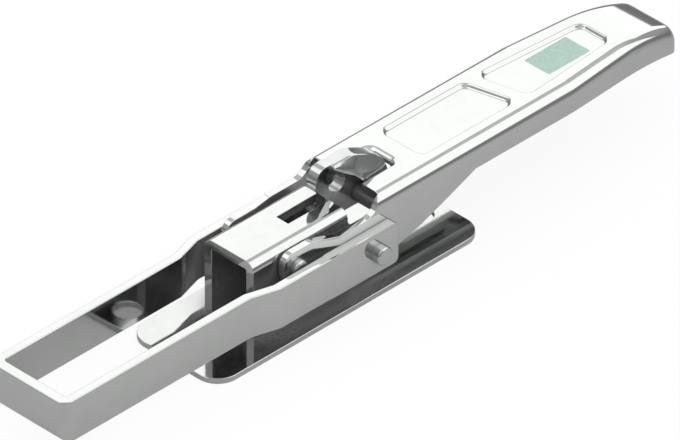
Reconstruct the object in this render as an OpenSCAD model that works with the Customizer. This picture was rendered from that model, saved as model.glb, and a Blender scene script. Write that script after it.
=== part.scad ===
// Over-centre toggle latch with a hand lever, a pull loop and a safety catch.
// Sizes are in millimetres. X runs from the loop to the tip of the lever and Z
// is up. The origin is the centre of the underside of the base plate.

/* [Base plate] */
// Length of the base plate
plate_l = 146; // [142:1:160]
// Width of the base plate
plate_w = 50; // [44:1:60]
// Thickness of the base plate
plate_t = 2.5; // [2:0.1:4]
// Radius of its four corners
plate_corner_r = 10; // [4:0.5:16]
// Distance from each fixing hole's centre to the plate's end
hole_inset = 11.3; // [10:0.1:14]
// Diameter of the fixing holes
hole_d = 11.5; // [6:0.5:12.5]

/* [Channel] */
// Length of the channel on the base plate
channel_l = 51.2; // [48:0.2:52]
// Width over the channel
channel_w = 26.8; // [26:0.1:27.2]
// Thickness of its walls
channel_wall = 4; // [3:0.5:5]
// Outer radius of its two top edges
channel_edge_r = 4.6; // [4.2:0.2:6]
// Width of the slot that the safety catch drops into
slot_w = 6.5; // [6:0.1:8]
// Length of that slot
slot_l = 22.3; // [20:0.1:24]

/* [Lever] */
// Thickness of the lever's sheet
lever_t = 3; // [2.6:0.1:3.1]
// Step of each side of the lever, from its ear out to the handle
ear_step = 3.1; // [2.5:0.1:4]
// Outer radius of the handle's long edges
lever_edge_r = 5.35; // [4:0.05:6]
// Narrowing of each side of the handle, in degrees
taper_deg = 5.15; // [3:0.05:6]
// Radius of the handle's downward bend
bend_r = 79; // [70:1:110]
// Width of the cut-out for the thumb pad
cutout_w = 18; // [17:0.5:20]
// Depth of the pressed panels
panel_depth = 1.4; // [0.8:0.1:1.6]

/* [Pull loop] */
// Height of the loop's flat bar
loop_h = 18.8; // [16:0.2:20]
// Thickness of its legs
leg_t = 4.1; // [3.5:0.1:5]
// Thickness of its closed end
loop_end_t = 4.9; // [4:0.1:6]
// Width over the loop at its closed end
loop_w = 42; // [40:0.5:48]
// Outer radius of its two corners
loop_corner_r = 5; // [4:0.5:9]
// Length of its legs behind their pin
leg_behind = 10.9; // [8:0.1:12]
// Radius of the two corners at the end of each leg
leg_end_r = 2.5; // [1:0.5:6]

/* [Pins] */
// Diameter of the lever's pivot pin
pivot_d = 8; // [6:0.5:9]
// Diameter of the loop's pin
loop_pin_d = 8; // [6:0.5:8.4]
// Diameter of the safety catch's pin
catch_pin_d = 6; // [5:0.5:7]
// Diameter of the keeper pin in the channel
keeper_d = 5; // [4:0.5:5.5]
// How far the loop's pin stands out past the legs
pin_stub = 4.2; // [1.5:0.1:5]

/* [Safety catch] */
// Thickness of the catch plate
catch_t = 5.1; // [4.5:0.1:5.4]
// Width of the thumb pad
pad_w = 15.6; // [12:0.2:16]
// Diameter of the padlock eye
eye_d = 8.7; // [6:0.1:9.5]
// Diameter of the spring's wire
wire_d = 1.2; // [0.8:0.1:1.4]

/* [Hidden] */

// Half of the clearance between a turning pin and its bore
running_gap = 0.05;
// Clearance between flat faces that slide past each other
side_gap = 0.3;
// Overlap that joins the pieces of one solid
weld = 0.5;
// Clearance between the lever's ears and the channel
ear_gap = 0.8;
// Clearance between the pivot pin's ends and the loop's legs
pivot_room = 0.7;
// Small bevel on the ends of the pins
pin_bevel = 0.6;
round_fn = 96;

channel_front = -42;
channel_rear = channel_front + channel_l;
channel_top = 37.4;
channel_inner_r = 0.7;

// The fixed pivot of the lever, as X and Z
pivot = [-22.1, 28.3];
// The pin that carries the loop
loop_pin_at = [channel_rear + 5.2, 20.8];
// The pin that carries the safety catch
catch_at = [channel_rear + 16.8, 33];
// The pin that the catch hooks behind
keeper_at = [channel_rear - 9.7, 27];
// The padlock eye
eye_at = [channel_rear + 4.8, 42.8];

lever_top = 41.7;
ear_in = channel_w / 2 + ear_gap;
ear_out = ear_in + lever_t;
lever_in = ear_in + ear_step;
lever_half = lever_in + lever_t;
web_front = channel_rear + 12.1;
taper_from = 126.3;
bend_from = 156.9;
lever_tip = 190.7;
tip_r = 4.5;
ear_from = -13.8;
ear_to = -2;
ear_front = -29.4;
ear_top = 36.1;
flange_top = 34.4;
flange_low = 29.2;
front_fillet_r = 7.5;
cutout_rear = channel_rear + 34.1;
cutout_r = 5;
lever_eye_r = loop_pin_d / 2 + 4.6;
ear_corner_r = 5.2;
ear_r = pivot[0] - ear_front;
// Lower edge of the lever's side, from the handle forward to the loop's pin
belly = [[72, flange_low], [68.7, 27.8], [54.1, 22.2], [40.4, 17.2], [28.6, 14.2], [20.5, 12.4]];
// Where that edge leaves the loop's pin for the ear
throat = [7, 14.4];
// Slope of the handle's lower edge, and how fast it drops past the bend
low_slope = 0.036;
low_drop = 0.003;
panel_half = 11.8;
panel_corner_r = 4;
panel_wall = 1.2;
front_panel = [[51, -panel_half], [51, panel_half], [98.5, panel_half], [102.3, -panel_half]];
rear_panel = [[108.6, -panel_half], [105, panel_half], [158.8, 8.6], [158.8, -8.6]];

loop_front = -150.6;
loop_low = loop_pin_at[1] - loop_h / 2;
// The legs step outward between these two places, to pass the lever
step_from = -51.0;
step_to = -38.5;
leg_in = lever_half + side_gap;
leg_out = leg_in + leg_t;
loop_out = loop_w / 2;
leg_end = loop_pin_at[0] + leg_behind;
loop_inner_r = 1.6;
loop_nose_r = 4.1;

catch_half = catch_t / 2;
boss_r = catch_pin_d / 2 + 2.6;
spacer_r = catch_pin_d / 2 + 1.2;
spring_r = catch_pin_d / 2 + 0.5 + wire_d / 2;
spring_turns = 4;
spring_pitch = wire_d + 0.2;
spring_from = catch_half + side_gap + wire_d / 2;
spring_to = spring_from + spring_turns * spring_pitch;
spring_front = [catch_at[0] - 12, spring_from, catch_at[1] + spring_r - wire_d];
spring_rear = [catch_at[0] + 14, spring_to + wire_d / 4, catch_at[1] + spring_r];
// The catch's outline, as distances behind the channel's rear end and heights:
// from its nose back over the top to the pin, then its hook and its chin
nose_top = 52.8;
nose_r = 5.8;
nose = [-1, nose_top - nose_r];
catch_back = [[nose[0], nose_top], [12.3, nose_top], [14.8, 51.7], [19, 49.8], [23.8, 47.4],
              [27, 45], [28.6, 43.2], [28.6, 39], [22.8, 36]];
arm_low = 27.6;
hook = [[-1.1, arm_low], [-1.2, 19.6], [-4, 19.6], [-6.7, 22.5], [-6.7, 24], [-2.6, 25.4]];
chin = [[-1.6, 38.7], [-2.2, 39.3], [-4.8, 42.2], [-6.6, 45]];
// The thumb pad on the catch's near side, as cross-sections: distance behind the
// channel's rear end, how far the side is set in, and the heights of its two edges
pad_sections = [[1.3, 2.6, 51.4, 52.6], [2.2, 1.2, 50.8, 52.8], [3.4, 0.4, 50, 52.8],
                [5.3, 0, 48.5, 52.8], [10.2, 0, 45.6, 52.8], [12.3, 0, 43.6, 52.7],
                [14.8, 0, 40.5, 51.7], [19, 0, 38.8, 49.8], [23.8, 0.1, 38.6, 47.4],
                [27, 0.6, 38.6, 45], [28.6, 1.6, 39, 43.2]];
pad_r = 4.6;

// Draws a profile of X and Z and gives it a width along Y
module across(y0, y1) {
    translate([0, y1, 0])
        rotate([90, 0, 0])
            linear_extrude(height = y1 - y0)
                children();
}

// Draws a profile of Y and Z and runs it along X
module along(x0, x1) {
    translate([x0, 0, 0])
        rotate([90, 0, 90])
            linear_extrude(height = x1 - x0)
                children();
}

// A round bar across the latch at a place of X and Z
module cross_bar(at, r, y0, y1) {
    translate([at[0], y1, at[1]])
        rotate([90, 0, 0])
            cylinder(r = r, h = y1 - y0, $fn = round_fn);
}

// A pin across the latch with a small bevel on each end
module cross_pin(at, r, reach, bevel = pin_bevel) {
    cross_bar(at, r, -reach + bevel, reach - bevel);
    for (side = [-1, 1])
        translate([at[0], side * (reach - bevel), at[1]])
            rotate([-90 * side, 0, 0])
                cylinder(r1 = r, r2 = r - bevel, h = bevel, $fn = round_fn);
}

// A rectangle from corner to corner with true round corners
module round_rect(x0, y0, x1, y1, r) {
    translate([x0 + r, y0])
        square([x1 - x0 - 2 * r, y1 - y0]);
    translate([x0, y0 + r])
        square([x1 - x0, y1 - y0 - 2 * r]);
    for (x = [x0 + r, x1 - r], y = [y0 + r, y1 - r])
        translate([x, y])
            circle(r = r, $fn = round_fn);
}

// An upside-down U without its hollow: a block with two round top corners
module arch(half, low, high, r) {
    translate([-half, low])
        square([2 * half, high - r - low]);
    translate([-half + r, high - r - 0.01])
        square([2 * (half - r), r + 0.01]);
    for (side = [-1, 1])
        translate([side * (half - r), high - r])
            circle(r = r, $fn = round_fn);
}

module base_plate() {
    color("silver")
        difference() {
            linear_extrude(height = plate_t)
                round_rect(-plate_l / 2, -plate_w / 2, plate_l / 2, plate_w / 2, plate_corner_r);
            for (side = [-1, 1])
                translate([side * (plate_l / 2 - hole_inset), 0, -1])
                    cylinder(d = hole_d, h = plate_t + 2, $fn = round_fn);
        }
}

// Folded channel that carries the pivot, welded to the plate
module body_channel() {
    half = channel_w / 2;
    color("silver")
        difference() {
            along(channel_front, channel_rear)
                arch(half, plate_t, channel_top, channel_edge_r);
            along(channel_front - 1, channel_rear + 1)
                arch(half - channel_wall, plate_t - 1, channel_top - channel_wall, channel_inner_r);
            translate([channel_rear - slot_l, -slot_w / 2, channel_top - channel_wall - 1])
                cube([slot_l + 1, slot_w, channel_wall + 2]);
            cross_bar(pivot, pivot_d / 2, -half - 1, half + 1);
            cross_bar(keeper_at, keeper_d / 2, -half - 1, half + 1);
        }
}

module pivot_pin() {
    color("gainsboro")
        cross_pin(pivot, pivot_d / 2, leg_in - pivot_room);
}

module keeper_pin() {
    color("gainsboro")
        cross_bar(keeper_at, keeper_d / 2, -channel_w / 2, channel_w / 2);
}

module loop_pin() {
    color("gainsboro")
        cross_pin(loop_pin_at, loop_pin_d / 2, leg_out + pin_stub);
}

// Outline of the lever seen from the side, up to where the handle narrows
module lever_side() {
    fillet_x = web_front - 1.7 - front_fillet_r;
    difference() {
        union() {
            polygon(concat(
                [[ear_front, pivot[1]], [ear_front, ear_top - ear_corner_r],
                 [ear_front + ear_corner_r, ear_top], [ear_from, ear_top], [ear_to, flange_top],
                 [ear_to, lever_top + 1], [taper_from, lever_top + 1], [taper_from, flange_low]],
                belly,
                [loop_pin_at - [0, lever_eye_r], throat, pivot + [2, -ear_r], pivot - [0, ear_r]]));
            translate([ear_front + ear_corner_r, ear_top - ear_corner_r])
                circle(r = ear_corner_r, $fn = round_fn);
            translate(pivot)
                circle(r = ear_r, $fn = round_fn);
            translate(loop_pin_at)
                circle(r = lever_eye_r, $fn = round_fn);
        }
        translate([ear_to - 1, flange_top])
            square([fillet_x - ear_to + 1, 20]);
        translate([fillet_x, flange_top + front_fillet_r])
            circle(r = front_fillet_r, $fn = round_fn);
        polygon([[fillet_x, flange_top + 4], [fillet_x + front_fillet_r - 0.5, flange_top + 5],
                 [web_front, lever_top - 0.5], [web_front + 0.5, lever_top + 2],
                 [fillet_x, lever_top + 2]]);
    }
}

// One flange seen from above: the handle's side, the step inward and the ear
module flange_plan() {
    polygon([[ear_front - 1, ear_in], [ear_from, ear_in], [ear_to, lever_in], [web_front, lever_in],
             [web_front, lever_half], [ear_to, lever_half], [ear_from, ear_out],
             [ear_front - 1, ear_out]]);
}

// Half width, top and bottom of the tapered and bent end of the handle
function taper_half(x) = lever_half - tan(taper_deg) * (x - taper_from);
function bend_top(x) = x < bend_from ? lever_top
    : lever_top - bend_r + sqrt(bend_r * bend_r - (x - bend_from) * (x - bend_from));
function taper_low(x) = flange_low - low_slope * (x - taper_from)
    - low_drop * pow(max(x - bend_from, 0), 2);
// How far an edge of radius r has come in at a distance d before the tip
function tip_in(d, r) = d > r ? 0 : r - sqrt(r * r - (r - d) * (r - d));

// Points of one cross-section: up one side, over the top and down the other
function ring(x, half, low, high, r, steps) = concat(
    [[x, -half, low]],
    [for (i = [0 : steps]) let (a = 180 - 90 * i / steps)
        [x, -half + r + r * cos(a), high - r + r * sin(a)]],
    [for (i = [0 : steps]) let (a = 90 - 90 * i / steps)
        [x, half - r + r * cos(a), high - r + r * sin(a)]],
    [[x, half, low]]);

// A solid through a list of cross-sections with equal numbers of points
module loft(rings) {
    n = len(rings[0]);
    last = len(rings) - 1;
    sides = [for (k = [0 : last - 1], i = [0 : n - 1]) let (j = (i + 1) % n)
        each [[k * n + i, k * n + j, (k + 1) * n + i], [k * n + j, (k + 1) * n + j, (k + 1) * n + i]]];
    caps = [[for (i = [n - 1 : -1 : 0]) i], [for (i = [0 : n - 1]) last * n + i]];
    polyhedron(points = [for (r = rings) each r], faces = concat(sides, caps), convexity = 4);
}

// Tapered end of the handle as a solid, set in by a wall thickness
module handle_end(wall, low_extra) {
    r = max(lever_edge_r - wall, 0.5);
    corner = max(tip_r - wall, 0.5);
    end_x = lever_tip - wall;
    marks = concat([taper_from], [for (i = [1 : 3]) taper_from + i * (bend_from - taper_from) / 3],
        [for (i = [1 : 6]) bend_from + i * (end_x - corner - bend_from) / 6],
        [for (i = [1 : 5]) end_x - corner * (1 - sin(90 * i / 5))]);
    loft([for (x = marks)
        let (in = tip_in(end_x - x, corner))
        ring(x, taper_half(x) - wall - in, taper_low(x) - low_extra, bend_top(x) - wall - in * 0.9, r, 6)]);
}

// Block in the shape of a pressed panel, grown by a wall's width on every side
module panel(corners, grow, low, high) {
    r = panel_corner_r + grow;
    inset = panel_corner_r;
    hull()
        for (i = [0 : 3])
            translate([corners[i][0] + (i < 2 ? inset : -inset),
                       corners[i][1] + (corners[i][1] < 0 ? inset : -inset), low])
                cylinder(r = r, h = high - low, $fn = 32);
}

// Pressed-sheet hand lever with its two ears
module lever() {
    color("gainsboro")
        difference() {
            union() {
                intersection() {
                    difference() {
                        along(ear_to, taper_from)
                            arch(lever_half, plate_t, lever_top, lever_edge_r);
                        along(ear_to - 1, taper_from + 1)
                            arch(lever_in, plate_t - 1, lever_top - lever_t, lever_edge_r - lever_t);
                    }
                    across(-40, 40)
                        lever_side();
                }
                for (side = [0, 1])
                    mirror([0, side, 0])
                        intersection() {
                            translate([0, 0, plate_t])
                                linear_extrude(height = ear_top - plate_t)
                                    flange_plan();
                            across(0, 40)
                                lever_side();
                        }
                difference() {
                    handle_end(0, 0);
                    translate([-0.01, 0, 0])
                        handle_end(lever_t, 5);
                }
                for (corners = [front_panel, rear_panel])
                    panel(corners, panel_wall, lever_top - lever_t - panel_depth,
                          lever_top - lever_t + weld / 2);
            }
            for (corners = [front_panel, rear_panel])
                panel(corners, 0, lever_top - panel_depth, lever_top + 1);
            translate([0, 0, lever_top - lever_t - 1])
                linear_extrude(height = lever_t + 2) {
                    round_rect(web_front - 10, -cutout_w / 2, cutout_rear, cutout_w / 2, cutout_r);
                    translate([web_front - 10, -lever_in])
                        square([10, 2 * lever_in]);
                }
            cross_bar(pivot, pivot_d / 2 + running_gap, -40, 40);
            cross_bar(loop_pin_at, loop_pin_d / 2 + running_gap, -40, 40);
        }
}

// Outline of the loop from above: its closed end and the wider part behind it
module loop_plan(front, half, wide_half, end, r) {
    round_rect(front, -half, step_from, half, r);
    polygon([[step_from - 12, -half], [step_from, -half], [step_to, -wide_half], [end, -wide_half],
             [end, wide_half], [step_to, wide_half], [step_from, half], [step_from - 12, half]]);
}

// Flat bar bent to a loop, with its legs set wider to pass the lever
module pull_loop() {
    color("gainsboro")
        difference() {
            intersection() {
                translate([0, 0, loop_low])
                    linear_extrude(height = loop_h)
                        difference() {
                            loop_plan(loop_front, loop_out, leg_out, leg_end, loop_corner_r);
                            loop_plan(loop_front + loop_end_t, loop_out - leg_t, leg_in,
                                      leg_end + 1, loop_inner_r);
                        }
                across(-40, 40) {
                    translate([loop_front + loop_nose_r, loop_low])
                        square([leg_end - leg_end_r - loop_front - loop_nose_r, loop_h]);
                    translate([loop_front, loop_low + loop_nose_r])
                        square([20, loop_h - loop_nose_r]);
                    translate([loop_front + loop_nose_r, loop_low + loop_nose_r])
                        circle(r = loop_nose_r, $fn = round_fn);
                    round_rect(loop_pin_at[0], loop_low, leg_end, loop_low + loop_h, leg_end_r);
                }
            }
            cross_bar(loop_pin_at, loop_pin_d / 2 + running_gap, -40, 40);
        }
}

// Side of the catch: nose, arm over the loop pin, and hook
module catch_side() {
    pin = catch_at - [channel_rear, 0];
    translate([channel_rear, 0]) {
        polygon(concat(catch_back,
            [pin + [boss_r, 0], pin - [0, boss_r], [pin[0] - boss_r / 2, arm_low]], hook, chin,
            [nose]));
        translate(nose)
            circle(r = nose_r, $fn = round_fn);
        translate(pin)
            circle(r = boss_r, $fn = round_fn);
    }
}

// Thumb pad, with one large rounding between its top and its side
module thumb_pad() {
    loft([for (c = pad_sections)
        let (x = channel_rear + c[0], out = pad_w / 2 - c[1], r = min(pad_r, c[3] - c[2] - 0.3))
        concat([[x, -out, c[2]]],
            [for (i = [0 : 8]) let (a = 180 - 90 * i / 8)
                [x, r - out + r * cos(a), c[3] - r + r * sin(a)]],
            [[x, 0, c[3]], [x, 0, c[2]]])]);
}

module safety_catch() {
    color("dimgray")
        difference() {
            union() {
                across(-catch_half, catch_half)
                    catch_side();
                thumb_pad();
            }
            cross_bar(eye_at, eye_d / 2, -10, 10);
            cross_bar(catch_at, catch_pin_d / 2 + running_gap, -20, 20);
        }
}

module catch_pin() {
    color("gainsboro")
        cross_bar(catch_at, catch_pin_d / 2, -lever_in, lever_in);
}

// Tube on the catch pin that fills the room between the catch and a flange
module spacer(y0, y1) {
    color("silver")
        difference() {
            cross_bar(catch_at, spacer_r, y0, y1);
            cross_bar(catch_at, catch_pin_d / 2 + running_gap, y0 - 1, y1 + 1);
        }
}

module catch_spacer_near() {
    spacer(side_gap - lever_in, -catch_half - side_gap);
}

module catch_spacer_far() {
    spacer(spring_to + wire_d / 2 + side_gap, lever_in - side_gap);
}

// Middle line of the spring's wire: a straight arm to the top of the pin, whole
// turns around it, and the other arm
function coil_point(turn) = [catch_at[0] + spring_r * sin(360 * turn), spring_from + spring_pitch * turn,
                             catch_at[1] + spring_r * cos(360 * turn)];
spring_path = concat([spring_front],
    [for (i = [0 : 16 * spring_turns]) coil_point(i / 16)],
    [spring_rear]);

// A round wire along a path that never runs straight across the latch
module wire(path, r, steps = 8) {
    last = len(path) - 1;
    loft([for (k = [0 : last])
        let (t = path[min(k + 1, last)] - path[max(k - 1, 0)],
             n = cross(t, [0, 1, 0]) / norm(cross(t, [0, 1, 0])),
             b = cross(n, t) / norm(cross(n, t)))
        [for (i = [0 : steps - 1]) let (a = -360 * i / steps) path[k] + r * (cos(a) * n + sin(a) * b)]]);
}

module catch_spring() {
    color("gray")
        wire(spring_path, wire_d / 2);
}

base_plate();
body_channel();
pivot_pin();
lever();
loop_pin();
pull_loop();
safety_catch();
catch_pin();
catch_spacer_near();
catch_spacer_far();
catch_spring();
keeper_pin();
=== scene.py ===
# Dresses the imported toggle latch: bright zinc-plated sheet and bar, turned pins, soft studio
import math
import bmesh
import bpy
from mathutils import Matrix, Vector


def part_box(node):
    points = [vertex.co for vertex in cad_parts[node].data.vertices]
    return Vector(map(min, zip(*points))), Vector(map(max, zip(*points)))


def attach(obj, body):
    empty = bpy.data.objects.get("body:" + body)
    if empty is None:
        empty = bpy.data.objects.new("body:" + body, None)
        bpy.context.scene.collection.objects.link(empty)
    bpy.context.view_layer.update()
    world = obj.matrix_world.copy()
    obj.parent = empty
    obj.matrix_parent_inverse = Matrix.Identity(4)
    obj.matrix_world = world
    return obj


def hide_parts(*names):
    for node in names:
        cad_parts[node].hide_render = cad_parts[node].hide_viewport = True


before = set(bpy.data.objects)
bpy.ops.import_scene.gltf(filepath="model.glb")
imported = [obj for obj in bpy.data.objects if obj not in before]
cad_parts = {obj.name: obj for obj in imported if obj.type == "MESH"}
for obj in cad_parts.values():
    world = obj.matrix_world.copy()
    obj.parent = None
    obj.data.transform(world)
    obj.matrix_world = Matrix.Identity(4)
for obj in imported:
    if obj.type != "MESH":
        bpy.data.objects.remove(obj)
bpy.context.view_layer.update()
mm = 0.001

# Slack for telling where a vertex or an edge lies, and for joining vertices
tight = 0.02 * mm
loose = 0.1 * mm
weld = 0.001 * mm

# The camera looks down the cube's diagonal from far off
camera = {
    "aim": (0.0182, 0.0, 0.0218),   # point of the latch at the middle of the picture
    "toward": (1.0, 1.0, -1.0),
    "lens": 1000.0,                 # long lens, so that parallels stay parallel
    "sensor": 36.0,
    "seen": 0.2619,                 # width of the picture at the latch, in metres
    "clip": (0.01, 10),             # nearest and farthest point drawn, as shares of the distance
}


def setCamera():
    data = bpy.data.cameras.new("photoCamera")
    data.lens = camera["lens"]
    data.sensor_width = camera["sensor"]
    distance = camera["lens"] * camera["seen"] / camera["sensor"]
    data.clip_start = distance * camera["clip"][0]
    data.clip_end = distance * camera["clip"][1]
    view = Vector(camera["toward"]).normalized()
    obj = bpy.data.objects.new("photoCamera", data)
    obj.location = Vector(camera["aim"]) - view * distance
    obj.rotation_euler = view.to_track_quat("-Z", "Y").to_euler()
    bpy.context.scene.collection.objects.link(obj)
    bpy.context.scene.camera = obj


setCamera()
print("camera set")


# A socket of a shader tree: sums and products of wires add Math nodes
class Wire:
    def __init__(self, tree, socket=None):
        self.tree = tree
        self.socket = socket

    def node(self, kind, settings=None, inputs=None, out=0):
        made = self.tree.nodes.new(kind)
        for name, value in (settings or {}).items():
            if name == "stops":
                ramp = made.color_ramp
                while len(ramp.elements) < len(value):
                    ramp.elements.new(0.5)
                for stop, (place, shade) in zip(ramp.elements, value):
                    stop.position = place
                    stop.color = (shade, shade, shade, 1)
            else:
                setattr(made, name, value)
        for name, value in (inputs or {}).items():
            if isinstance(value, Wire):
                self.tree.links.new(value.socket, made.inputs[name])
            else:
                made.inputs[name].default_value = value
        return Wire(self.tree, made.outputs[out]) if made.outputs else made

    def sum(self, operation, first, second=0.0):
        return self.node("ShaderNodeMath", {"operation": operation}, {0: first, 1: second})

    def __add__(self, other):
        return self.sum("ADD", self, other)

    def __sub__(self, other):
        return self.sum("SUBTRACT", self, other)

    def __rsub__(self, other):
        return self.sum("SUBTRACT", other, self)

    def __mul__(self, other):
        return self.sum("MULTIPLY", self, other)

    def __abs__(self):
        return self.sum("ABSOLUTE", self)

    # Runs smoothly from 0 to 1 between two values, which may fall
    def step(self, low, high):
        return self.node("ShaderNodeMapRange", {"interpolation_type": "SMOOTHSTEP"},
                         {"Value": self, "From Min": low, "From Max": high})

    def blend(self, first, second):
        return self.node("ShaderNodeMix", {"data_type": "RGBA"}, {0: self, 6: first, 7: second}, out=2)

    def noise(self, place, scale, detail, rough=0.55):
        return self.node("ShaderNodeTexNoise", {"noise_dimensions": "3D"},
                         {"Vector": place, "Scale": scale, "Detail": detail, "Roughness": rough})

    __radd__ = __add__
    __rmul__ = __mul__


def rgba(colour):
    return (*colour, 1.0)


# A new material with its nodes cleared, as a wire to build on
def newMaterial(name):
    material = bpy.data.materials.new(name)
    material.use_nodes = True
    material.node_tree.nodes.clear()
    return material, Wire(material.node_tree)


# Zinc plate and steel: tint, its duller clouds, the lightest worn edges, roughness, how
# many polishing lines lie along X, Y and Z in a metre, and the gray painted as shade into narrow hollows
metals = {
    "plateZinc":   {"tint": (0.55, 0.56, 0.55), "dull": (0.51, 0.52, 0.51), "worn": (0.64, 0.64, 0.63),
        "rough": 0.055, "spread": 0.05, "lines": (50, 1100, 1100), "depth": 0.05, "hollowShade": 0.45},
    "channelZinc": {"tint": (0.56, 0.57, 0.56), "dull": (0.52, 0.53, 0.52), "worn": (0.64, 0.64, 0.63),
        "rough": 0.055, "spread": 0.05, "lines": (50, 1100, 1100), "depth": 0.02, "hollowShade": 0.20},
    "leverZinc":   {"tint": (0.57, 0.58, 0.57), "dull": (0.54, 0.55, 0.54), "worn": (0.65, 0.65, 0.64),
        "rough": 0.05, "spread": 0.04, "lines": (50, 1100, 1100), "depth": 0.04, "hollowShade": 0.20},
    "loopZinc":    {"tint": (0.56, 0.57, 0.56), "dull": (0.53, 0.54, 0.53), "worn": (0.65, 0.65, 0.64),
        "rough": 0.06, "spread": 0.05, "lines": (40, 900, 900), "depth": 0.05, "hollowShade": 0.30},
    "pinSteel":    {"tint": (0.54, 0.55, 0.55), "dull": (0.48, 0.49, 0.49), "worn": (0.62, 0.62, 0.61),
        "rough": 0.16, "spread": 0.06, "lines": (1400, 70, 1400), "depth": 0.03, "hollowShade": 0.20},
    "catchSteel":  {"tint": (0.52, 0.53, 0.53), "dull": (0.46, 0.47, 0.47), "worn": (0.60, 0.60, 0.59),
        "rough": 0.09, "spread": 0.05, "lines": (900, 120, 900), "depth": 0.01, "hollowShade": 0.24},
    "springSteel": {"tint": (0.46, 0.46, 0.47), "dull": (0.38, 0.38, 0.39), "worn": (0.56, 0.56, 0.56),
        "rough": 0.18, "spread": 0.08, "lines": (900, 900, 900), "depth": 0.08, "hollowShade": 0.20},
}
# What all metals share: clouds and smears, scratches, pale worn edges, and painted shade in
# narrow hollows: a darker, duller colour where ambient occlusion finds them
wear = {
    "cloudScale": 26.0, "smearScale": 234.0, "smearShare": 0.3, "dull": (0.35, 0.7),
    "scratchScale": (35, 900, 35), "scratchTurn": (0.2, 0.1, 0.5), "scratch": (0.68, 0.76),
    "edge": 0.35 * mm, "edgeFacing": (0.995, 0.93), "edgePatch": (0.35, 0.6),
    "hollowShadeReach": 30 * mm, "hollowShade": (0.6, 0.2), "hollowShadeDull": 0.75,
    "tone": {"scratch": 0.5, "edge": 0.8, "hollowShade": 0.9},             # how far each changes the colour
    "rough": {"scratch": 0.06, "edge": 0.05, "hollowShade": 0.3},          # and the roughness
    "relief": 0.2 * mm, "bump": {"lines": 0.5, "smear": 0.35, "scratch": 0.4},
}


def metalCoat(start, place, look):
    cloud = start.noise(place, wear["cloudScale"], 4.0)
    smear = start.noise(place, wear["smearScale"], 3.0, 0.6)
    linesPlace = start.node("ShaderNodeMapping", None, {"Vector": place, "Scale": look["lines"]})
    lines = start.noise(linesPlace, 1.0, 2.0)
    scratchPlace = start.node("ShaderNodeMapping", None, {
        "Vector": place, "Scale": wear["scratchScale"], "Rotation": wear["scratchTurn"]})
    scratch = start.noise(scratchPlace, 1.0, 2.0).step(*wear["scratch"])
    geometry = start.node("ShaderNodeNewGeometry", out="Normal")
    rounded = start.node("ShaderNodeBevel", {"samples": 4}, {"Radius": wear["edge"]})
    facing = start.node("ShaderNodeVectorMath", {"operation": "DOT_PRODUCT"},
                        {0: geometry, 1: rounded}, out="Value")
    edge = facing.step(*wear["edgeFacing"]) * smear.step(*wear["edgePatch"])
    # Painted shade: where ambient occlusion finds a narrow hollow, the colour turns darker and less
    # metallic
    airy = start.node("ShaderNodeAmbientOcclusion", {"samples": 6},
                      {"Distance": wear["hollowShadeReach"]}, out="AO")
    hollowShade = airy.step(*wear["hollowShade"])
    patchy = cloud * (1 - wear["smearShare"]) + smear * wear["smearShare"]
    tone = wear["tone"]
    shade = patchy.step(*wear["dull"]).blend(rgba(look["tint"]), rgba(look["dull"]))
    shade = (scratch * tone["scratch"]).blend(shade, rgba(look["dull"]))
    shade = (edge * tone["edge"]).blend(shade, rgba(look["worn"]))
    # the painted shade of narrow hollows
    shade = (hollowShade * tone["hollowShade"]).blend(shade, rgba([look["hollowShade"]] * 3))
    rough = wear["rough"]
    roughness = (look["rough"] + look["spread"] * (patchy - 0.5) + rough["scratch"] * scratch
                 + rough["edge"] * edge + rough["hollowShade"] * hollowShade)
    bump = wear["bump"]
    height = lines * bump["lines"] + smear * bump["smear"] - scratch * bump["scratch"]
    normal = start.node("ShaderNodeBump", None, {
        "Strength": look["depth"], "Distance": wear["relief"], "Height": height})
    return shade, 1 - wear["hollowShadeDull"] * hollowShade, roughness, normal


def finishMetal(start, shade, metallic, roughness, normal):
    surface = start.node("ShaderNodeBsdfPrincipled", None, {
        "Base Color": shade, "Metallic": metallic, "Roughness": roughness, "Normal": normal})
    start.node("ShaderNodeOutputMaterial", None, {"Surface": surface})


def makeMetal(name):
    material, start = newMaterial(name)
    place = start.node("ShaderNodeTexCoord", out="Object")
    finishMetal(start, *metalCoat(start, place, metals[name]))
    return material


# The plain painted field in the lever's rear panel
greenField = {
    "centre": (137.5 * mm, 0.0), "half": (11.5 * mm, 6.8 * mm), "corner": 0.8 * mm, "soft": 0.1 * mm,
    "ragged": 0.25 * mm, "raggedScale": 2500.0, "depth": (3 * mm, 2.5 * mm),
    "paint": (0.42, 0.62, 0.53), "thin": (0.50, 0.69, 0.60), "rough": 0.32,
    "thinScale": 700.0, "thinFrom": (0.35, 0.65),
}


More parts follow.
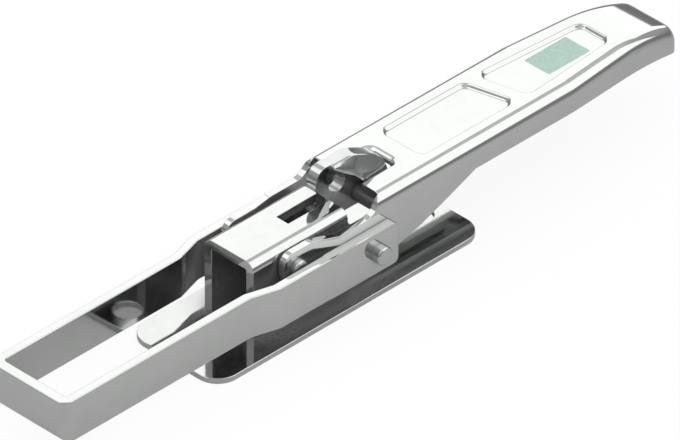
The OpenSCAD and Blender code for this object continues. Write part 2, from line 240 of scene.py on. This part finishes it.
def makeLeverMetal():
    material, start = newMaterial("leverZinc")
    place = start.node("ShaderNodeTexCoord", out="Object")
    shade, metallic, roughness, normal = metalCoat(start, place, metals["leverZinc"])
    x = start.node("ShaderNodeSeparateXYZ", None, {0: place}, out=0)
    y = start.node("ShaderNodeSeparateXYZ", None, {0: place}, out=1)
    z = start.node("ShaderNodeSeparateXYZ", None, {0: place}, out=2)
    ragged = (start.noise(place, greenField["raggedScale"], 2.0) - 0.5) * greenField["ragged"]
    corner = greenField["corner"]
    soft = greenField["soft"]
    outX = start.sum("MAXIMUM", abs(x - greenField["centre"][0]) - (greenField["half"][0] - corner), 0.0)
    outY = start.sum("MAXIMUM", abs(y - greenField["centre"][1]) - (greenField["half"][1] - corner), 0.0)
    outside = start.sum("SQRT", outX * outX + outY * outY) + ragged
    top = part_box("lever")[1][2]
    upper = z.step(*(top - depth for depth in greenField["depth"]))
    field = outside.step(corner + soft, corner - soft) * upper
    thin = start.noise(place, greenField["thinScale"], 3.0).step(*greenField["thinFrom"])
    paint = thin.blend(rgba(greenField["paint"]), rgba(greenField["thin"]))
    finishMetal(start, field.blend(shade, paint), metallic * (1 - field),
                roughness * (1 - field) + field * greenField["rough"], normal)
    return material


paints = {name: makeMetal(name) for name in metals if name != "leverZinc"}
paints["leverZinc"] = makeLeverMetal()
print("metals made")


# Gives a finished mesh to a new piece that stands for a CAD node
def addPiece(name, shape, node, body, paint, smooth=35):
    mesh = bpy.data.meshes.new(name)
    shape.to_mesh(mesh)
    shape.free()
    mesh.shade_smooth()
    mesh.set_sharp_from_angle(angle=math.radians(smooth))
    mesh.materials.append(paints[paint])
    obj = bpy.data.objects.new(name, mesh)
    bpy.context.scene.collection.objects.link(obj)
    weighted = obj.modifiers.new("evenNormals", "WEIGHTED_NORMAL")
    weighted.keep_sharp = True
    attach(obj, body)
    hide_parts(node)
    print("made", name)


# A merged copy of a CAD node's mesh, its flat faces whole again
copying = {"merge": 0.015 * mm, "flat": 0.6}      # the angle is in degrees


def copyNode(node, merge=copying["merge"]):
    shape = bmesh.new()
    shape.from_mesh(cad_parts[node].data)
    bmesh.ops.remove_doubles(shape, verts=shape.verts, dist=merge)
    bmesh.ops.dissolve_degenerate(shape, edges=shape.edges, dist=merge)
    bmesh.ops.dissolve_limit(shape, angle_limit=math.radians(copying["flat"]), verts=shape.verts,
                             edges=shape.edges, use_dissolve_boundaries=False)
    return shape


# Rounds the edges that are sharper than an angle and pass a test
def roundEdges(shape, width, segments, angle=30, test=None, clamp=True):
    limit = math.radians(angle)
    edges = [e for e in shape.edges if len(e.link_faces) == 2 and e.calc_face_angle(0) > limit
             and (test is None or test(e))]
    bmesh.ops.bevel(shape, geom=edges, offset=width, offset_type="OFFSET", affect="EDGES",
                    segments=segments, profile=0.5, material=-1, clamp_overlap=clamp)


# True where both ends of an edge lie at a height
def atHeight(edge, height, slack=tight):
    return all(abs(v.co.z - height) < slack for v in edge.verts)


basePlate = {"edge": 0.35 * mm}
shape = copyNode("base_plate")
roundEdges(shape, basePlate["edge"], 3)
addPiece("basePlate", shape, "base_plate", "base", "plateZinc")

bodyChannel = {"edge": 0.2 * mm, "merge": 0.03 * mm}
shape = copyNode("body_channel", bodyChannel["merge"])
roundEdges(shape, bodyChannel["edge"], 3, clamp=False)
addPiece("bodyChannel", shape, "body_channel", "base", "channelZinc")

# Flat bar with soft edges. The bores stay sharp, so that the pin fills them, and the
# legs' upper edges are crisp where they pass the lever
pullLoop = {"edge": 0.5 * mm, "crisp": 0.1 * mm, "keepAround": 4.6 * mm, "crispFrom": -11.5 * mm,
            "inner": 20.6 * mm, "snug": 0.2 * mm}


def offBore(edge):
    low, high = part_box("loop_pin")
    centre = Vector(((low[0] + high[0]) / 2, 0, (low[2] + high[2]) / 2))
    return all(math.hypot(v.co.x - centre.x, v.co.z - centre.z) > pullLoop["keepAround"]
               for v in edge.verts)


def onLegs(edge):
    return min(v.co.x for v in edge.verts) > pullLoop["crispFrom"] - tight


shape = copyNode("pull_loop")
bmesh.ops.bisect_plane(shape, geom=[*shape.verts, *shape.edges, *shape.faces], dist=weld,
                       plane_co=(pullLoop["crispFrom"], 0, 0), plane_no=(1, 0, 0))
for vert in shape.verts:
    if vert.co.x > pullLoop["crispFrom"] - tight and abs(abs(vert.co.y) - pullLoop["inner"]) < loose:
        bmesh.ops.translate(shape, vec=(0, math.copysign(pullLoop["snug"], -vert.co.y), 0), verts=[vert])
roundEdges(shape, pullLoop["edge"], 3, test=lambda e: offBore(e) and not onLegs(e))
roundEdges(shape, pullLoop["crisp"], 2, test=lambda e: offBore(e) and onLegs(e))
addPiece("pullLoop", shape, "pull_loop", "loop", "loopZinc")

# The hand lever: its pressed panels get slanted walls with soft edges, and the rim of
# its cut-out is drawn down to a lip
handLever = {
    "edge": 0.2 * mm, "merge": 0.03 * mm,
    "top": 41.7 * mm, "under": 38.7 * mm, "pressed": 1.4 * mm,    # the sheet and its pressed panels
    "cutX": (21.3 * mm, 43.3 * mm), "cutHalf": 9 * mm, "cutCorner": 5 * mm, "upright": 0.1,
    "stepX": 126.3 * mm,                                          # where the tip starts to bend
    "panels": [(49 * mm, 103.5 * mm), (103.6 * mm, 161 * mm)], "panelHalf": 12.6 * mm,   # where they lie
    "slant": 1.0 * mm, "topRound": 0.9 * mm, "topSteps": 5, "lowRound": 0.55 * mm, "lowSteps": 4,
    "panelAngle": 20,
    "lipReach": 2.6 * mm, "lipBend": 3.0 * mm, "lipSteps": 7,
    "nearShare": 0.3, "nearSlope": 2.4,          # how short the lip is at the near side, and how soon
    "roundsAbove": 35 * mm, "roundsLong": 60 * mm, "roundsAlong": 0.99, "strip": 4.0, "sliver": 0.01 * mm,
}


def softPanels(shape, top, floor):
    for low, high in handLever["panels"]:
        base = [v for v in shape.verts if low < v.co.x < high and abs(v.co.y) < handLever["panelHalf"]
                and abs(v.co.z - floor) < tight]
        middle = Vector(((min(v.co.x for v in base) + max(v.co.x for v in base)) / 2, 0, floor))
        spanX = max(v.co.x for v in base) - min(v.co.x for v in base)
        spanY = max(v.co.y for v in base) - min(v.co.y for v in base)
        shrink = (1 - 2 * handLever["slant"] / spanX, 1 - 2 * handLever["slant"] / spanY, 1)
        bmesh.ops.scale(shape, vec=shrink, space=Matrix.Translation(-middle), verts=base)
    start = handLever["panels"][0][0]
    end = handLever["panels"][1][1]

    def inPanels(edge):
        return all(start < v.co.x < end and abs(v.co.y) < handLever["panelHalf"] for v in edge.verts)

    angle = handLever["panelAngle"]
    roundEdges(shape, handLever["topRound"], handLever["topSteps"], angle,
               lambda e: atHeight(e, top, loose) and inPanels(e))
    roundEdges(shape, handLever["lowRound"], handLever["lowSteps"], angle,
               lambda e: atHeight(e, floor) and inPanels(e))


def pressLip(shape):
    top = handLever["top"]
    under = handLever["under"]
    front, rear = handLever["cutX"]
    half = handLever["cutHalf"]
    corner = handLever["cutCorner"]
    slope = handLever["nearSlope"]
    wall = [f for f in shape.faces if abs(f.normal.z) < handLever["upright"]
            and under - loose < f.calc_center_median().z and all(
                front - tight < v.co.x < rear + tight and abs(v.co.y) < half + tight
                and v.co.z > under - tight for v in f.verts)]
    bmesh.ops.delete(shape, geom=wall, context="FACES")
    rim = [e for e in shape.edges if e.is_boundary and atHeight(e, top)]
    lower = [e for e in shape.edges if e.is_boundary and atHeight(e, under)]

    # Towards the middle of the cut-out, and how far the lip reaches there
    def inward(point):
        core = Vector((min(point.x, rear - corner), max(-half + corner, min(half - corner, point.y)), 0))
        way = (core - Vector((point.x, point.y, 0))).normalized()
        near = max(0.0, min(1.0, way.y * slope - (slope - 1)))
        near = near * near * (3 - 2 * near)
        return way, 1 - (1 - handLever["nearShare"]) * near

    steps = handLever["lipSteps"]
    bend = handLever["lipBend"]
    full = math.asin(handLever["lipReach"] / bend)
    for i in range(steps):
        made = bmesh.ops.extrude_edge_only(shape, edges=rim)["geom"]
        rim = [g for g in made if isinstance(g, bmesh.types.BMEdge)]
        old = full * i / steps
        new = full * (i + 1) / steps
        for vert in [g for g in made if isinstance(g, bmesh.types.BMVert)]:
            way, share = inward(vert.co)
            move = way * (bend * (math.sin(new) - math.sin(old)))
            move.z = -bend * (math.cos(old) - math.cos(new))
            bmesh.ops.translate(shape, vec=move * share, verts=[vert])
    made = bmesh.ops.extrude_edge_only(shape, edges=rim)["geom"]
    rim = [g for g in made if isinstance(g, bmesh.types.BMEdge)]
    for vert in [g for g in made if isinstance(g, bmesh.types.BMVert)]:
        bmesh.ops.translate(shape, vec=(0, 0, under - vert.co.z), verts=[vert])
    bmesh.ops.bridge_loops(shape, edges=rim + lower)
    bmesh.ops.holes_fill(shape, edges=[e for e in shape.edges if e.is_boundary], sides=0)
    bmesh.ops.recalc_face_normals(shape, faces=shape.faces)


# The long rounds beside the top come in slivers, which this joins to even strips
def evenRounds(shape):
    edges = [e for e in shape.edges if e.calc_length() > handLever["roundsLong"]
             and min(v.co.z for v in e.verts) > handLever["roundsAbove"]
             and abs(e.verts[0].co.x - e.verts[1].co.x) > handLever["roundsAlong"] * e.calc_length()]
    bmesh.ops.dissolve_limit(shape, angle_limit=math.radians(handLever["strip"]), edges=edges,
                             verts=list(dict.fromkeys(v for e in edges for v in e.verts)),
                             use_dissolve_boundaries=False)
    bmesh.ops.dissolve_degenerate(shape, edges=shape.edges, dist=handLever["sliver"])


# Leaves out the lip, which is smooth already, and the faint step where the bend starts
def plainEdge(edge):
    onStep = all(abs(v.co.x - handLever["stepX"]) < tight for v in edge.verts)
    low, high = handLever["cutX"]
    onLip = all(low - loose < v.co.x < high + loose and abs(v.co.y) < handLever["cutHalf"] + loose
                and v.co.z > handLever["under"] + loose for v in edge.verts)
    return not onStep and not onLip


shape = copyNode("lever", handLever["merge"])
evenRounds(shape)
pressLip(shape)
softPanels(shape, handLever["top"], handLever["top"] - handLever["pressed"])
roundEdges(shape, handLever["edge"], 3, test=plainEdge, clamp=False)
addPiece("handLever", shape, "lever", "lever", "leverZinc")

# The catch's thumb pad leans out from a ridge beside the plate's top down to its
# lower edge, and it starts narrow at the front
safetyCatch = {
    "edge": 0.1 * mm, "merge": 0.15 * mm,
    "ridge": 2.8 * mm, "crown": 0.25, "brow": 1.1 * mm, "dip": 0.25 * mm,
    "lip": 0.6 * mm, "belly": 0.2 * mm, "bellyLift": 0.6,
    "round": 4.6 * mm, "roundSpare": 0.3 * mm, "leastRound": 0.5 * mm, "leastVerts": 5,
    "frontX": 10.5 * mm, "frontWidth": 4.6 * mm, "fullX": 22 * mm, "width": 7.8 * mm,
}


def leanPad(shape):
    look = safetyCatch
    stations = {}
    for vert in shape.verts:
        if vert.co.y < -look["ridge"] + loose:
            stations.setdefault(round(vert.co.x / loose), []).append(vert)
    for verts in stations.values():
        top = max(v.co.z for v in verts)
        low = min(v.co.z for v in verts)
        out = -min(v.co.y for v in verts)
        radius = min(look["round"], top - low - look["roundSpare"])
        if len(verts) < look["leastVerts"] or radius < look["leastRound"]:
            continue
        share = (verts[0].co.x - look["frontX"]) / (look["fullX"] - look["frontX"])
        share = max(0.0, min(1.0, share))
        width = min(out, look["frontWidth"] + share * (look["width"] - look["frontWidth"]))
        for vert in verts:
            across = max(0.0, -vert.co.y - (out - radius)) / radius
            above = max(0.0, vert.co.z - (top - radius)) / radius
            turn = math.atan2(across, above) / (math.pi / 2)
            crown = min(1.0, turn / look["crown"])
            slope = max(0.0, turn - look["crown"]) / (1 - look["crown"])
            edge = min(look["ridge"] + crown * look["brow"], width)
            reach = edge + slope * (width - edge)
            height = top - crown * crown * look["dip"] - slope * (top - low - look["dip"] - look["lip"])
            swell = look["belly"] * math.sin(math.pi * slope)
            if vert.co.z < low + tight:
                height = low
            else:
                height = height + swell * look["bellyLift"]
            place = Vector((vert.co.x, -reach - swell, height))
            bmesh.ops.translate(shape, vec=place - vert.co, verts=[vert])


shape = copyNode("safety_catch", safetyCatch["merge"])
leanPad(shape)
roundEdges(shape, safetyCatch["edge"], 3, clamp=False)
addPiece("safetyCatch", shape, "safety_catch", "catch", "catchSteel")

# Each pin and spacer: its node, its body and its rounded edge
pins = {
    "pivotPin":   ("pivot_pin", "base", 0.25 * mm),
    "keeperPin":  ("keeper_pin", "base", 0.2 * mm),
    "loopPin":    ("loop_pin", "loop", 0.25 * mm),
    "catchPin":   ("catch_pin", "lever", 0.2 * mm),
    "nearSpacer": ("catch_spacer_near", "lever", 0.15 * mm),
    "farSpacer":  ("catch_spacer_far", "lever", 0.15 * mm),
}
for name, (node, body, edge) in pins.items():
    shape = copyNode(node)
    roundEdges(shape, edge, 3)
    addPiece(name, shape, node, body, "pinSteel")

# The catch spring: a coil on the catch pin with one arm to the front and one to the rear
catchSpring = {"wire": 1.2 * mm, "pinGap": 0.5 * mm, "turns": 4, "stepsPerTurn": 32, "sides": 16,
               "smooth": 60}


def makeSpring():
    wire = catchSpring["wire"] / 2
    low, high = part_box("catch_pin")
    springLow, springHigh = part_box("catch_spring")
    centre = Vector(((low[0] + high[0]) / 2, 0, (low[2] + high[2]) / 2))
    coil = (high[2] - low[2]) / 2 + catchSpring["pinGap"] + wire
    begin = springLow[1] + wire
    rise = springHigh[1] - wire - begin
    shape = bmesh.new()
    spot = (Matrix.Translation((springLow[0] + wire, begin, centre.z + coil))
            @ Matrix.Rotation(math.pi / 2, 4, "Y"))
    bmesh.ops.create_circle(shape, cap_ends=True, radius=wire, segments=catchSpring["sides"], matrix=spot)
    end = bmesh.ops.extrude_face_region(shape, geom=list(shape.faces))["geom"]
    bmesh.ops.translate(shape, vec=(centre.x - springLow[0] - wire, 0, 0),
                        verts=[g for g in end if isinstance(g, bmesh.types.BMVert)])
    face = [g for g in end if isinstance(g, bmesh.types.BMFace)]
    steps = catchSpring["turns"] * catchSpring["stepsPerTurn"]
    spun = bmesh.ops.spin(shape, geom=face, cent=(centre.x, begin, centre.z), axis=(0, 1, 0),
                          dvec=(0, rise / steps, 0), angle=2 * math.pi * catchSpring["turns"],
                          steps=steps)["geom_last"]
    bmesh.ops.delete(shape, geom=face, context="FACES_ONLY")
    face = [g for g in spun if isinstance(g, bmesh.types.BMFace)]
    end = bmesh.ops.extrude_face_region(shape, geom=face)["geom"]
    bmesh.ops.delete(shape, geom=face, context="FACES_ONLY")
    bmesh.ops.translate(shape, vec=(springHigh[0] - centre.x - wire, 0, 0),
                        verts=[g for g in end if isinstance(g, bmesh.types.BMVert)])
    bmesh.ops.remove_doubles(shape, verts=shape.verts, dist=weld)
    bmesh.ops.recalc_face_normals(shape, faces=shape.faces)
    return shape


addPiece("catchSpring", makeSpring(), "catch_spring", "lever", "springSteel",
         catchSpring["smooth"])

# The floor is pale. The camera sees it white with a faint shadow, and polished
# metal sees a share of that white over a painted pool of light: lighter near the latch, darker farther
# off.
floorLook = {"size": 30.0, "near": 0.80, "far": 0.35, "reach": (0.06, 0.5), "seenTone": 0.13,
             "glow": 0.89, "glossyShare": 0.05}
# Levels of the sky by height, and the soft boxes: direction, level, half angles
sky = {
    "levels": [(0.0, 0.23), (0.12, 0.29), (0.3, 0.48), (0.6, 0.54), (0.76, 0.81), (1.0, 0.87)],
    "panels": [{"azimuth": 45, "height": 25.5, "level": 1.72, "across": 30, "up": 16.5},
               {"azimuth": -50, "height": 45, "level": 1.72, "across": 25.6, "up": 28},
               {"azimuth": 140, "height": 60, "level": 1.72, "across": 25.6, "up": 19}],
    "soft": 1.2, "side": (0.0, 0.1),    # soft edge, and the half of the sky that a box lies in
    "plain": 0.72,                      # share of these levels that falls on paint and the floor
}
softLamp = {"size": 1.6, "watts": 5.0, "place": (-0.7, -0.9, 1.8)}


def makeFloor():
    shape = bmesh.new()
    bmesh.ops.create_grid(shape, x_segments=1, y_segments=1, size=floorLook["size"])
    mesh = bpy.data.meshes.new("floor")
    shape.to_mesh(mesh)
    shape.free()
    material, start = newMaterial("paleFloor")
    place = start.node("ShaderNodeTexCoord", out="Object")
    away = start.node("ShaderNodeVectorMath", {"operation": "LENGTH"}, {0: place}, out="Value")
    near = [floorLook["near"]] * 3
    far = [floorLook["far"]] * 3
    # Painted pool of light: the floor's tone runs from light near the latch to dark farther off
    tone = away.step(*floorLook["reach"]).blend(rgba(near), rgba(far))
    seen = floorLook["seenTone"]
    plain = start.node("ShaderNodeBsdfDiffuse", None, {"Color": tone})
    pale = start.node("ShaderNodeBsdfDiffuse", None, {"Color": (seen, seen, seen, 1)})
    glow = start.node("ShaderNodeEmission", None, {"Strength": floorLook["glow"]})
    white = start.node("ShaderNodeAddShader", None, {0: pale, 1: glow})
    cameraRay = start.node("ShaderNodeLightPath", out="Is Camera Ray")
    glossyRay = start.node("ShaderNodeLightPath", out="Is Glossy Ray")
    share = cameraRay + glossyRay * floorLook["glossyShare"]
    mixed = start.node("ShaderNodeMixShader", None, {0: share, 1: plain, 2: white})
    start.node("ShaderNodeOutputMaterial", None, {"Surface": mixed})
    mesh.materials.append(material)
    obj = bpy.data.objects.new("floor", mesh)
    bpy.context.scene.collection.objects.link(obj)


def makeSky():
    world = bpy.data.worlds.new("studio")
    bpy.context.scene.world = world
    world.use_nodes = True
    world.node_tree.nodes.clear()
    start = Wire(world.node_tree)
    way = start.node("ShaderNodeTexCoord", out="Generated")

    def along(axis):
        return start.node("ShaderNodeVectorMath", {"operation": "DOT_PRODUCT"},
                          {0: way, 1: axis}, out="Value")

    total = start.node("ShaderNodeValToRGB", {"stops": sky["levels"]}, {0: along((0, 0, 1))})
    for panel in sky["panels"]:
        turn = math.radians(panel["azimuth"])
        lift = math.radians(panel["height"])
        axis = Vector((math.cos(lift) * math.cos(turn), math.cos(lift) * math.sin(turn), math.sin(lift)))
        right = axis.cross(Vector((0, 0, 1))).normalized()
        up = right.cross(axis)
        mask = along(axis).step(*sky["side"])
        for side, span in ((right, panel["across"]), (up, panel["up"])):
            outer = math.sin(math.radians(span + sky["soft"]))
            inner = math.sin(math.radians(span - sky["soft"]))
            mask = mask * abs(along(side)).step(outer, inner)
        total = total * (1 - mask) + mask * panel["level"]
    glossy = start.node("ShaderNodeLightPath", out="Is Glossy Ray")
    total = total * (sky["plain"] + glossy * (1 - sky["plain"]))
    ray = start.node("ShaderNodeLightPath", out="Is Camera Ray")
    total = total * (1 - ray) + ray
    light = start.node("ShaderNodeBackground", None, {"Color": (1, 1, 1, 1), "Strength": total})
    start.node("ShaderNodeOutputWorld", None, {"Surface": light})


def addLamp():
    lamp = bpy.data.lights.new("softLamp", "AREA")
    lamp.shape = "DISK"
    lamp.size = softLamp["size"]
    lamp.energy = softLamp["watts"]
    obj = bpy.data.objects.new("softLamp", lamp)
    obj.location = softLamp["place"]
    obj.rotation_euler = (-obj.location).to_track_quat("-Z", "Y").to_euler()
    obj.visible_glossy = False
    bpy.context.scene.collection.objects.link(obj)


makeFloor()
makeSky()
addLamp()
bpy.context.scene.view_settings.view_transform = "Standard"
print("floor and light set")
